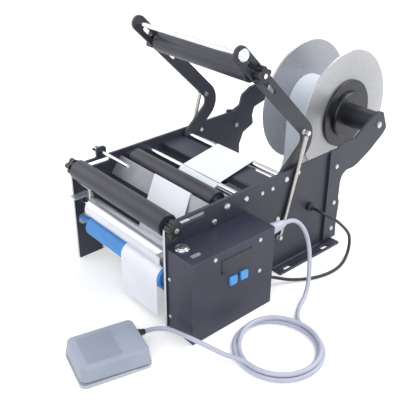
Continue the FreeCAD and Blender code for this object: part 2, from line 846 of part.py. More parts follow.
def handleRod():
    inner = half - armInset - armThick
    body = rod(armTipY, armTipZ, handleDia / 2, -inner, inner)
    tail = rod(armTipY, armTipZ, handleDia / 2 - 1.0, -half + armInset, half - armInset)
    return fuse([body, tail])


def handleCap(side):
    face = half - armInset
    end = face + capLength
    cap = turned([(face, 0), (face, capDia / 2), (end - 1.5, capDia / 2), (end, capDia / 2 - 1.5), (end, 0)], armTipY, armTipZ)
    return cap if side > 0 else mirror(cap)


def hookBolts():
    hook = armPoint(hookAlong, hookIn)
    parts = []
    for side in (1, -1):
        inner = side * (half - armInset - armThick - 2.5)
        shank = rod(hook.y, hook.z, hookDia / 2, *sorted((inner, side * (springX + 1.6))))
        head = rod(hook.y, hook.z, 3.4, *sorted((side * (springX + 1.6), side * (springX + 3.2))))
        nut = rod(hook.y, hook.z, 3.6, *sorted((inner, side * (half - armInset - armThick))))
        collar = rod(hook.y, hook.z, 3.4, *sorted((side * (half - armInset), side * (half - armInset + 3.0))))
        parts.append(fuse([shank, head, nut, collar]))
    return Part.makeCompound(parts)


def tensionSpring(side):
    # close coil between two eyes; the eyes go round the hook bolt and the anchor screw
    hook = armPoint(hookAlong, hookIn)
    x = side * springX
    top = V(x, hook.y, hook.z)
    low = V(x, anchorY, anchorZ)
    way = low - top
    span = way.Length
    way.normalize()
    eyeR = hookDia / 2 + 0.3 + 0.5
    coil = Part.makeCylinder(springDia / 2, span - 2 * (eyeR + 1.6), top + way * (eyeR + 1.6), way)
    parts = [coil]
    for centre, toward in ((top, way), (low, way * -1)):
        parts.append(Part.makeTorus(eyeR, 0.5, centre, V(1, 0, 0)))
        parts.append(Part.makeCylinder(0.5, 2.4, centre + toward * eyeR, toward))
    return fuse(parts)


def pressShaft():
    centre = armPoint(pressReach, 0)
    reach = half + knobThick + 1.0
    return rod(centre.y, centre.z, bedShaftDia / 2, -reach, reach)


# ---- bottle stop

def stopScrew():
    body = rod(stopScrewY, stopScrewZ, stopScrewDia / 2, stopHeadX, stopScrewTip)
    head = turned([(stopHeadX, 0), (stopHeadX, stopHeadDia / 2 - 1), (stopHeadX - 1, stopHeadDia / 2),
                   (stopHeadX - stopHeadLength + 1, stopHeadDia / 2), (stopHeadX - stopHeadLength, stopHeadDia / 2 - 1), (stopHeadX - stopHeadLength, 0)],
                  stopScrewY, stopScrewZ)
    return fuse([body, head])


# ---- control box

def boxBody():
    # folded tray: front, outer face, rear and bottom, with an edge turned in along the plate
    shell = box(outer, boxOuter, boxFront, boxRear, boxBottom, boxTop - sheet)
    hollow = box(outer - 1, boxOuter - sheet, boxFront + sheet, boxRear - sheet, boxBottom + sheet, boxTop)
    body = shell.cut(hollow)
    ridges = [box(outer, outer + sheet, boxFront + 1.0, boxFront + 5.5, boxBottom + 1.0, boxTop - sheet),
              box(outer, outer + sheet, boxRear - 12.0, boxRear - 1.0, boxBottom + 1.0, boxTop - sheet)]
    body = fuse([body] + ridges)
    cuts = [box(boxOuter - 3, boxOuter + 1, windowY - windowLength / 2, windowY + windowLength / 2, windowZ - windowHeight / 2, windowZ + windowHeight / 2),
            Part.makeCylinder(7.2, 4, V(socketX, boxRear - 3, socketZ), V(0, 1, 0)),
            Part.makeCylinder(4.2, 4, V(131.0, boxRear - 3, 16.0), V(0, 1, 0)),
            Part.makeCylinder(6.2, 4, V(128.0, boxRear - 3, 45.0), V(0, 1, 0))]
    for y in (buttonFrontY, buttonRearY):
        s = buttonSize / 2 + 0.25
        cuts.append(box(boxOuter - 3, boxOuter + 1, y - s, y + s, buttonZ - s, buttonZ + s))
    return body.cut(Part.makeCompound(cuts))


def boxCover():
    lid = box(outer, boxOuter, boxFront, boxRear, boxTop - sheet, boxTop)
    lip = box(boxOuter - 2 * sheet, boxOuter - sheet, boxFront + 3, boxRear - 4, boxTop - 7, boxTop - sheet)
    cover = fuse([lid, lip])
    portHole = box(portX - 2.9, portX + 2.9, portY - 6.9, portY + 6.9, boxTop - 3, boxTop + 1)
    cuts = [Part.makeCylinder(powerRingR - 1.4, 4, V(powerX, powerY, boxTop - 3)), portHole]
    return cover.cut(Part.makeCompound(cuts))


def boxScrews():
    parts = []
    for y, z in ((37.4, 112.6), (114.2, 110.2), (115.4, 62.8)):
        parts.append(buttonHead(boxOuter, y, z, 3.0, 1))
    for z in (77.0, 20.0):
        head = turned([(0, 0), (0, 2.6), (1.0, 2.4), (1.5, 0)], 0, 0)
        head.rotate(V(0, 0, 0), V(0, 0, 1), -90)
        head.translate(V(outer + 5.0, boxFront, z))
        parts.append(head)
    return Part.makeCompound(parts)


def displayModule():
    x1 = boxOuter + 0.8
    lip = box(boxOuter, x1, windowY - windowLength / 2 - 0.8, windowY + windowLength / 2 + 0.8, windowZ - windowHeight / 2 - 0.8, windowZ + windowHeight / 2 + 0.8)
    body = box(boxOuter - 8.0, boxOuter, windowY - windowLength / 2 + 0.1, windowY + windowLength / 2 - 0.1, windowZ - windowHeight / 2 + 0.1, windowZ + windowHeight / 2 - 0.1)
    return fuse([lip, body])


def squareButton(y):
    s = buttonSize / 2
    x0, x1 = boxOuter - 3.6, boxOuter + 3.2
    cap = profileX([(y - s, buttonZ - s, 1.5), (y + s, buttonZ - s, 1.5), (y + s, buttonZ + s, 1.5), (y - s, buttonZ + s, 1.5)], x0, x1)
    edges = [edge for edge in cap.Edges if abs(edge.BoundBox.XMin - x1) < 0.01 and edge.BoundBox.XLength < 0.01]
    return cap.makeFillet(0.7, edges)


def controllerBoard():
    x1 = boxOuter - 8.0
    board = box(x1 - 1.6, x1, 24.0, 128.0, 54.0, 112.0)
    parts = [board]
    for y in (buttonFrontY, buttonRearY):
        parts.append(box(x1, boxOuter - 3.6 - buttonTravel - 0.3, y - 5, y + 5, buttonZ - 5, buttonZ + 5))
    for y, z in ((37.4, 108.0), (114.2, 108.0), (115.4, 62.8)):
        parts.append(rod(y, z, 3.0, x1 - 0.5, boxOuter - sheet))
    parts.append(box(x1 - 12.0, x1 - 1.6, 92.0, 112.0, 70.0, 96.0))
    parts.append(box(x1 - 8.0, x1 - 1.6, 32.0, 56.0, 60.0, 68.0))
    return fuse(parts)


def powerSupply():
    return box(outer + 17.0, outer + 43.0, 30.0, 120.0, boxBottom + sheet, boxBottom + sheet + 32.0)


def powerRing():
    # bevelled ring on the cover, barrel below it and a blind well for the push button
    inner = powerButtonR + runningGap
    points = [(0, -16), (powerRingR - 1.6, -16), (powerRingR - 1.6, 0), (powerRingR, 0), (powerRingR, 1.4),
              (powerRingR - 0.8, 2.2), (inner, 2.2), (inner, -6), (0, -6)]
    outline = Part.makePolygon([V(powerX + r, powerY, boxTop + z) for r, z in points + points[:1]])
    return Part.Face(outline).revolve(V(powerX, powerY, 0), V(0, 0, 1), 360)


def powerButton():
    profile = [(0, -3.0), (powerButtonR, -3.0), (powerButtonR, 2.0), (powerButtonR - 1.2, 3.2), (0, 3.6)]
    outline = Part.makePolygon([V(powerX + r, powerY, boxTop + z) for r, z in profile + profile[:1]])
    return Part.Face(outline).revolve(V(powerX, powerY, 0), V(0, 0, 1), 360)


def servicePort():
    corners = [(portX - 2.8, portY - 6.8, 1.4), (portX + 2.8, portY - 6.8, 1.4), (portX + 2.8, portY + 6.8, 1.4), (portX - 2.8, portY + 6.8, 1.4)]
    return profileZ(corners, boxTop - 10.0, boxTop + 1.0)


def socketFlange():
    parts = [Part.makeCylinder(8.4, 3.0, V(socketX, boxRear, socketZ), V(0, 1, 0)),
             Part.makeCylinder(7.0, 12.0, V(socketX, boxRear - 10.0, socketZ), V(0, 1, 0)),
             Part.makeCylinder(5.6, 6.0, V(socketX, boxRear, socketZ), V(0, 1, 0))]
    return fuse(parts)


plugEnd = boxRear + 30.0


def connectorPlug():
    points = [(0, 5.6 + runningGap), (0, 7.6), (9.0, 7.6), (9.6, 6.8), (20.0, 6.8), (21.0, 5.4), (27.0, 4.6), (27.0, 0), (3.1, 0), (3.1, 5.6 + runningGap)]
    start = boxRear + 3.0
    outline = Part.makePolygon([V(socketX + r, start + along, socketZ) for along, r in points + points[:1]])
    return Part.Face(outline).revolve(V(socketX, 0, socketZ), V(0, 1, 0), 360)


def glandAlongY(x, y, z, length, radius, bore):
    points = [(0, bore), (0, radius), (length * 0.45, radius), (length * 0.55, radius * 0.8), (length * 0.85, radius * 0.75), (length, radius * 0.6), (length, bore)]
    outline = Part.makePolygon([V(x + r, y + along, z) for along, r in points + points[:1]])
    return Part.Face(outline).revolve(V(x, 0, z), V(0, 1, 0), 360)


leadBoxEnd = boxRear + 11.0
leadBoxX = 131.0
leadBoxZ = 16.0
leadPlateEnd = outer + 9.0


def leadGlands():
    # one on the box's rear wall, one in the right plate
    first = glandAlongY(leadBoxX, boxRear, leadBoxZ, 11.0, 5.6, 0)
    stub = Part.makeCylinder(4.1, 5.0, V(leadBoxX, boxRear - 5.0, leadBoxZ), V(0, 1, 0))
    second = turned([(half - 2.0, 0), (half - 2.0, 6.4), (half, 6.4), (half, 5.0), (outer, 5.0), (outer, 6.6), (outer + 4.0, 6.6),
                     (outer + 5.0, 5.0), (leadPlateEnd, 3.8), (leadPlateEnd, 0)], leadY, leadZ)
    return Part.makeCompound([fuse([first, stub]), second])


def mainsGland():
    first = glandAlongY(128.0, boxRear, 45.0, 12.0, 8.0, 0)
    stub = Part.makeCylinder(6.0, 6.0, V(128.0, boxRear - 6.0, 45.0), V(0, 1, 0))
    return fuse([first, stub])


# ---- pedal, drawn with its length along Y and then turned

def pedalPlace(shape):
    shape.rotate(V(0, 0, 0), V(0, 0, 1), pedalTurn)
    shape.translate(V(pedalX, pedalY, 0))
    return shape


def pedalCorners(halfWidth, front, rear, radius):
    return [(-halfWidth, front, radius), (halfWidth, front, radius), (halfWidth, rear, radius), (-halfWidth, rear, radius)]


def pedalBase():
    w = pedalWidth / 2
    l = pedalLength / 2
    body = profileZ(pedalCorners(w, -l, l, pedalCorner), 0, pedalSeam)
    body = fuse([body, profileZ(pedalCorners(w - pedalWall - 2.2, -l + 8, l - pedalWall - 2.2, pedalCorner - 2), pedalSeam, 12.5)])
    body = body.cut(profileZ(pedalCorners(w - 8.0, -l + 14, l - 10.0, 4.0), 3.0, 20.0))
    pinY = l - pedalPinInset
    parts = [body]
    for side in (1, -1):
        x0, x1 = sorted((side * (w - 8.5), side * (w - 14.0)))
        parts.append(profileX([(pinY - 6, 2.5, 0), (pinY + 6, 2.5, 0), (pinY + 6, pedalPinZ + 6, 5.0), (pinY - 6, pedalPinZ + 6, 5.0)], x0, x1))
    parts.append(box(-8, 8, l - 11.0, l - 5.0, 3.0, 13.0))
    parts.append(Part.makeCylinder(3.0, 7.0, V(0, -18, 2.5)))
    base = fuse(parts)
    base = base.cut(rod(pinY, pedalPinZ, pedalPinDia / 2 + 0.01, -w, w))
    for side in (1, -1):
        x0, x1 = sorted((side * (w - 8.5), side * (w + 1)))
        base = base.cut(box(x0, x1, pinY - 7.5, pinY + 7.5, pedalSeam - 1.0, 20.0))
    base = base.cut(Part.makeCylinder(pedalCableDia / 2 + 0.5, 30, V(pedalGlandX, l - 15, pedalGlandZ), V(0, 1, 0)))
    return pedalPlace(base)


def pedalTreadle():
    # moulded hood over the base: sloped sides, rounded corners, ribbed top
    w = pedalWidth / 2
    l = pedalLength / 2
    low = pedalSeam
    outside = Part.makeLoft([roundedWire(pedalCorners(w, -l, l, pedalCorner), lambda a, b: V(a, b, low)),
                             roundedWire(pedalCorners(w - 3.5, -l + 3.5, l - 2.5, pedalCorner - 2), lambda a, b: V(a, b, pedalHeight - 3.0)),
                             ], True, True)
    topEdges = [edge for edge in outside.Edges if abs(edge.BoundBox.ZMin - (pedalHeight - 3.0)) < 0.01 and edge.BoundBox.ZLength < 0.01]
    outside = outside.makeFillet(3.0, topEdges)
    inside = Part.makeLoft([roundedWire(pedalCorners(w - pedalWall, -l + pedalWall, l - pedalWall, pedalCorner - pedalWall), lambda a, b: V(a, b, low - 0.01)),
                            roundedWire(pedalCorners(w - 3.5 - pedalWall, -l + 3.5 + pedalWall, l - 2.5 - pedalWall, pedalCorner - 2 - pedalWall), lambda a, b: V(a, b, pedalHeight - 6.0)),
                            ], True, True)
    hood = outside.cut(inside)
    # the lower edge rises to the front by the pedal's travel
    hood = hood.cut(profileX([(-l - 5, 0, 0), (l + 5, 0, 0), (l + 5, pedalSeam + 0.6, 0), (-l - 5, pedalSeam + 0.6 + pedalLift, 0)], -w - 5, w + 5))
    parts = [hood]
    for i in range(13):
        y = -l + 14.0 + i * 3.4
        parts.append(box(-w + 11.0, w - 11.0, y - 0.7, y + 0.7, pedalHeight - 3.6, pedalHeight - 2.2))
    pinY = l - pedalPinInset
    for side in (1, -1):
        x0, x1 = sorted((side * (w - 1.2), side * (w - 8.2)))
        ear = profileX([(pinY - 4, pedalPinZ - 4, 3), (pinY + 4, pedalPinZ - 4, 3), (pinY + 4, pedalHeight - 5, 0), (pinY - 4, pedalHeight - 5, 0)], x0, x1)
        parts.append(ear.common(outsideSolid(w, l, low)))
    hood = fuse(parts)
    hood = hood.cut(rod(pinY, pedalPinZ, pedalPinDia / 2 + runningGap, -w + 2.0, w - 2.0))
    hood = hood.cut(box(pedalGlandX - 4.2, pedalGlandX + 4.2, l - 6.0, l + 1.0, low - 1, pedalGlandZ + 4.6))
    return pedalPlace(hood)


def outsideSolid(w, l, low):
    return Part.makeLoft([roundedWire(pedalCorners(w - 1, -l + 1, l - 1, pedalCorner - 1), lambda a, b: V(a, b, 5.0)),
                          roundedWire(pedalCorners(w - 4.0, -l + 4.0, l - 3.0, pedalCorner - 2), lambda a, b: V(a, b, pedalHeight - 3.0))], True, True)


def pedalPin():
    w = pedalWidth / 2
    pinY = pedalLength / 2 - pedalPinInset
    return pedalPlace(rod(pinY, pedalPinZ, pedalPinDia / 2, -w + 2.6, w - 2.6))


def pedalSpring():
    ring = Part.makeCylinder(5.0, pedalHeight - 6.0 - 3.0 - 0.6, V(0, -18, 3.3)).cut(Part.makeCylinder(3.9, 40, V(0, -18, 0)))
    return pedalPlace(ring)


def pedalSwitch():
    # boxed snap switch in the base with its plunger under the treadle
    body = box(-10, 10, 6, 17, 3.0, 17.0)
    return pedalPlace(fuse([body, Part.makeCylinder(2.0, 5.2, V(0, 11.5, 16.6))]))


def pedalGland():
    l = pedalLength / 2
    return pedalPlace(glandAlongY(pedalGlandX, l + 0.3, pedalGlandZ, 11.0, 5.2, 0))


def pedalPoint(x, y, z):
    turn = math.radians(pedalTurn)
    return (pedalX + x * math.cos(turn) - y * math.sin(turn), pedalY + x * math.sin(turn) + y * math.cos(turn), z)


# ---- cords

def cableRear():
    start = V(socketX, plugEnd, socketZ)
    route = [(0, 0, 0), (0, 14, 0), (3, 28, -8), (8, 38, -25), (15, 40, -48), (24, 33, -70), (35, 20, -89), (46, 2, -101)]
    points = [(start.x + x, start.y + y, start.z + z) for x, y, z in route]
    return tubeAlong(points + [(199.0, 151.0, 5.2), (208.0, 127.0, 5.2)], pedalCableDia, "cableRear")


def cableFront():
    glandTip = pedalPoint(pedalGlandX, pedalLength / 2 + 11.3, pedalGlandZ)
    before = pedalPoint(pedalGlandX, pedalLength / 2 + 25.5, pedalGlandZ)
    return tubeAlong([(216.0, 23.5, 5.0), (200.0, 16.0, 5.5), (181.0, 6.6, 12.0), (162.0, -3.2, 17.2), (143.0, -7.0, 16.0),
                      (125.0, -8.5, 12.0), before, glandTip], pedalCableDia, "cableFront")


def cableCoil():
    profile = [(coilInnerR, 0.2, 4), (coilOuterR, 0.2, 4), (coilOuterR, 12.8, 4), (coilInnerR, 12.8, 4)]
    wire = roundedWire(profile, lambda a, b: V(coilX + a, coilY, b))
    return Part.Face(wire).revolve(V(coilX, coilY, 0), V(0, 0, 1), 360)


def machineLead():
    return tubeAlong([(leadPlateEnd, leadY, leadZ), (leadPlateEnd + 14, leadY, leadZ), (142.0, 274.0, 77.0), (147.0, 287.0, 67.0),
                      (148.0, 302.9, 51.8), (150.0, 315.8, 36.5), (152.0, 317.9, 24.7), (155.0, 313.8, 13.4), (159.0, 304.6, 5.9),
                      (164.0, 292.0, 2.8), (169.0, 273.0, 2.7), (169.5, 251.0, 2.9), (164.0, 229.0, 2.7), (154.0, 209.0, 3.0),
                      (143.0, 191.0, 5.0), (135.0, 176.0, 11.0), (leadBoxX, leadBoxEnd + 12.5, leadBoxZ), (leadBoxX, leadBoxEnd, leadBoxZ)],
                     leadDia, "machineLead")


def build():
    web, liner = webSolids()
    pressY, pressZ = armPoint(pressReach, 0).y, armPoint(pressReach, 0).z
    x0 = bedShaftDia / 2 + runningGap
    compound = Part.makeCompound
    return {
        "left_side_plate": sidePlate(-1),
        "right_side_plate": sidePlate(1),
        "left_reel_bracket": reelBracket(-1),
        "right_reel_bracket": reelBracket(1),
        "cross_rods": compound([crossRod(guideRodY, guideRodZ, guideRodDia, 2.0),
                                crossRod(tieRodRearY, tieRodRearZ, tieRodDia, 2.0),
                                crossRod(tieRodFrontY, tieRodFrontZ, tieRodDia, 2.0),
                                crossRod(middleRollerY, middleRollerZ, middleShaftDia, 2.5)]),
        "arm_pivot_shaft": crossRod(pivotY, pivotZ, pivotDia, 2.0),
        "peel_blade": peelBlade(),
        "peel_bar": peelBar(),
        "web_table": webTable(),
        "frame_screws": compound([plateScrews(), bracketBolts(), reelBolts(), boxScrews()]),
        "arm_stops_and_anchors": compound([stopPins(), anchorScrews()]),
        "front_roller": hollowRoller(frontRollerY, frontRollerZ, frontRollerR, x0, -frontRollerHalf, frontRollerHalf),
        "front_roller_shaft": frontShaft(),
        "front_knobs": compound([starKnob(frontRollerY, frontRollerZ, side * (outer + softGap), side) for side in (1, -1)]),
        "middle_roller": hollowRoller(middleRollerY, middleRollerZ, middleRollerR, middleShaftDia / 2 + runningGap,
                                      -middleRollerHalf, middleRollerHalf),
        "stop_screw": stopScrew(),
        "pinch_roller": hollowRoller(nipY, pinchRollerZ, pinchRollerR, pinchShaftDia / 2 + runningGap, nipLeft, nipRight),
        "pinch_shaft": pinchShaft(),
        "pinch_brackets": compound([pinchBracket(1), pinchBracket(-1), springSeats()]),
        "pinch_springs": compound([pinchSpring(1), pinchSpring(-1)]),
        "drive_roller": driveRoller(),
        "roller_pulley": pulley(nipY, driveRollerZ, driveShaftDia / 2),
        "drive_bearings": driveBearings(),
        "drive_motor": driveMotor(),
        "motor_pulley": motorPulley(),
        "drive_belt": driveBelt(),
        "label_web": web,
        "backing_liner": liner,
        "label_sensor": labelSensor(),
        "reel_shaft": reelShaft(),
        "reel_discs": compound([reelDisc(reelDiscLeft, reelShaftDia / 2 + runningGap), reelDisc(reelDiscRight, 12.0)]),
        "reel_hubs": compound([reelHub(), leftHub()]),
        "label_roll": compound([tube(reelY, reelZ, coreR, coreR - coreWall, reelDiscLeft + reelDiscThick, reelDiscRight),
                                tube(reelY, reelZ, rollR, coreR, webLeftAtReel, webLeftAtReel + webWidth)]),
        "press_arm_left": pressArm(-1),
        "press_arm_right": pressArm(1),
        "handle_rod": compound([handleRod(), handleCap(1), handleCap(-1)]),
        "press_roller": hollowRoller(pressY, pressZ, pressRollerR, x0, -pressRollerHalf, pressRollerHalf),
        "press_roller_shaft": pressShaft(),
        "press_knobs": compound([starKnob(pressY, pressZ, side * (half - armInset + softGap), side) for side in (1, -1)]),
        "hook_bolts": hookBolts(),
        "tension_springs": compound([tensionSpring(1), tensionSpring(-1)]),
        "box_body": boxBody(),
        "box_cover": boxCover(),
        "display_module": displayModule(),
        "left_button": squareButton(buttonFrontY),
        "right_button": squareButton(buttonRearY),
        "power_switch_ring": powerRing(),
        "power_button": powerButton(),
        "box_electronics": compound([controllerBoard(), powerSupply()]),
        "box_sockets": compound([servicePort(), socketFlange()]),
        "pedal_plug": connectorPlug(),
        "cable_glands": compound([leadGlands(), mainsGland(), pedalGland()]),
        "machine_lead": machineLead(),
        "pedal_cable": compound([cableRear(), cableFront()]),
        "pedal_cable_coil": cableCoil(),
        "pedal_base": pedalBase(),
        "pedal_treadle": pedalTreadle(),
        "pedal_pin": pedalPin(),
        "pedal_spring": pedalSpring(),
        "pedal_switch": pedalSwitch(),
    }


def main():
    os.makedirs("parts", exist_ok=True)
    shapes = build()
    print(len(shapes), "nodes")
    for name, shape in shapes.items():
        shape.translate(V(-originX, -originY, 0))
        shape.exportStep("parts/" + name + ".step")
        bounds = shape.BoundBox
        print(name, len(shape.Solids), "valid" if shape.isValid() else "INVALID", round(shape.Volume), [round(v, 1) for v in (bounds.XMin, bounds.XMax, bounds.YMin, bounds.YMax, bounds.ZMin, bounds.ZMax)])


main()
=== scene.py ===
import math
import bpy
import bmesh
from mathutils import Matrix, Vector


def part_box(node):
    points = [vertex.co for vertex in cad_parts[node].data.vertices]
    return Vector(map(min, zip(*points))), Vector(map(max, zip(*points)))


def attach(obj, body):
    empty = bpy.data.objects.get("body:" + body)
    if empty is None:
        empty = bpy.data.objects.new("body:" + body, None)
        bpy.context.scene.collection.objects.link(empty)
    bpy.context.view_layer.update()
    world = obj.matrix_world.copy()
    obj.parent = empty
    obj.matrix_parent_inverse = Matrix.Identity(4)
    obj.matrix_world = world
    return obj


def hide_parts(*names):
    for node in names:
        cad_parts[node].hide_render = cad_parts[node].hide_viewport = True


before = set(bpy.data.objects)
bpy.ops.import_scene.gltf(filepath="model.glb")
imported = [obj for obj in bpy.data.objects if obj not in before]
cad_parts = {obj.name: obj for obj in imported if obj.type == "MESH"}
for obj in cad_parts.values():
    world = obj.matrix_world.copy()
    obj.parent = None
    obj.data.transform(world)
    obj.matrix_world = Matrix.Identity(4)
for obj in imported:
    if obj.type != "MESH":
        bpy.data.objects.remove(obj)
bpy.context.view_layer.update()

# Positions are in millimetres of the machine: X from midway between the side plates,
# Y from the plates' front edge, Z from the floor. at() turns them into the frame's metres.
rodLow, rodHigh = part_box("cross_rods")
middleX = (rodLow[0] + rodHigh[0]) / 2
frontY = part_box("left_side_plate")[0][1]
mm = 0.001


def at(x, y, z):
    return Vector((middleX + x * mm, frontY + y * mm, z * mm))


print("frame loaded")


def linear(colour):
    return tuple((c / 255 / 12.92) if c < 10.3 else ((c / 255 + 0.055) / 1.055) ** 2.4 for c in colour) + (1.0,)


def newFinish(name):
    finish = bpy.data.materials.new(name)
    finish.use_nodes = True
    tree = finish.node_tree
    return finish, tree, tree.nodes["Principled BSDF"]


def add(tree, kind, inputs=None, **settings):
    node = tree.nodes.new(kind)
    for key, value in settings.items():
        setattr(node, key, value)
    for key, value in (inputs or {}).items():
        if isinstance(value, bpy.types.NodeSocket):
            tree.links.new(value, node.inputs[key])
        else:
            node.inputs[key].default_value = value
    return node


def calc(tree, operation, first, second=0.0, clamp=False):
    return add(tree, "ShaderNodeMath", {0: first, 1: second}, operation=operation, use_clamp=clamp).outputs[0]


def remap(tree, value, low, high, newLow=0.0, newHigh=1.0):
    inputs = {"Value": value, "From Min": low, "From Max": high, "To Min": newLow, "To Max": newHigh}
    return add(tree, "ShaderNodeMapRange", inputs).outputs[0]


def blendColour(tree, share, first, second, mode="MIX"):
    node = add(tree, "ShaderNodeMix", data_type="RGBA", blend_type=mode, clamp_factor=True)
    for index, value in ((0, share), (6, first), (7, second)):
        if isinstance(value, bpy.types.NodeSocket):
            tree.links.new(value, node.inputs[index])
        else:
            node.inputs[index].default_value = value
    return node.outputs[2]


def noise(tree, size, detail=2.0, stretch=(1, 1, 1)):
    # size is the pattern's grain in millimetres
    place = add(tree, "ShaderNodeTexCoord").outputs["Object"]
    scaled = add(tree, "ShaderNodeMapping", {"Vector": place, "Scale": [1000 / size / s for s in stretch]})
    pattern = add(tree, "ShaderNodeTexNoise", {"Vector": scaled.outputs[0], "Scale": 1.0, "Detail": detail})
    return pattern.outputs[0]


# share of the pale edge colour: rubbed paint together with a painted edge highlight
edgeWearAndHighlightShare = 0.6


def finishOf(name, look):
    # look: two colours mixed in patches (mm), rough (low, high) and bump by grain (mm), depth (mm) of the bump,
    # edge (mm) rounds what the light sees, the pale edge colour paints rubbed edges together with a painted
    # edge highlight, soft lets light in
    finish, tree, shader = newFinish(name)
    stretch = look.get("stretch", (1, 1, 1))
    patch = noise(tree, look["patch"], 3.0)
    colour = blendColour(tree, remap(tree, patch, 0.3, 0.7), linear(look["colour"]), linear(look["second"]))
    normal = None
    if look.get("edge"):
        rounded = add(tree, "ShaderNodeBevel", {"Radius": look["edge"] * mm}, samples=4).outputs[0]
        normal = rounded
        # pale colour mixed onto sharp edges: rubbed paint together with a painted edge highlight
        if look.get("edgeWearAndHighlight"):
            true = add(tree, "ShaderNodeNewGeometry").outputs["Normal"]
            turn = add(tree, "ShaderNodeVectorMath", {0: rounded, 1: true}, operation="DOT_PRODUCT")
            edgeMask = remap(tree, turn.outputs["Value"], 0.985, 0.90)
            broken = remap(tree, noise(tree, 3.0, 4.0), 0.35, 0.6, 0.35, 1.0)
            share = calc(tree, "MULTIPLY", calc(tree, "MULTIPLY", edgeMask, broken), edgeWearAndHighlightShare)
            colour = blendColour(tree, share, colour, linear(look["edgeWearAndHighlight"]))
    tree.links.new(colour, shader.inputs["Base Color"])
    grain = noise(tree, look["grain"], 2.0, stretch)
    low, high = look["rough"]
    tree.links.new(remap(tree, grain, 0.25, 0.75, low, high), shader.inputs["Roughness"])
    shader.inputs["Metallic"].default_value = look.get("metal", 0.0)
    shader.inputs["Specular IOR Level"].default_value = 0.5
    shader.inputs["Coat Weight"].default_value = look.get("coat", 0.0)
    shader.inputs["Coat Roughness"].default_value = 0.1
    shader.inputs["Subsurface Weight"].default_value = look.get("soft", 0.0)
    if look.get("soft"):
        shader.inputs["Subsurface Scale"].default_value = 0.003
    relief = {"Strength": look["bump"], "Distance": look["depth"] * mm, "Height": grain}
    bump = add(tree, "ShaderNodeBump", relief)
    if normal is not None:
        tree.links.new(normal, bump.inputs["Normal"])
    tree.links.new(bump.outputs[0], shader.inputs["Normal"])
    return finish
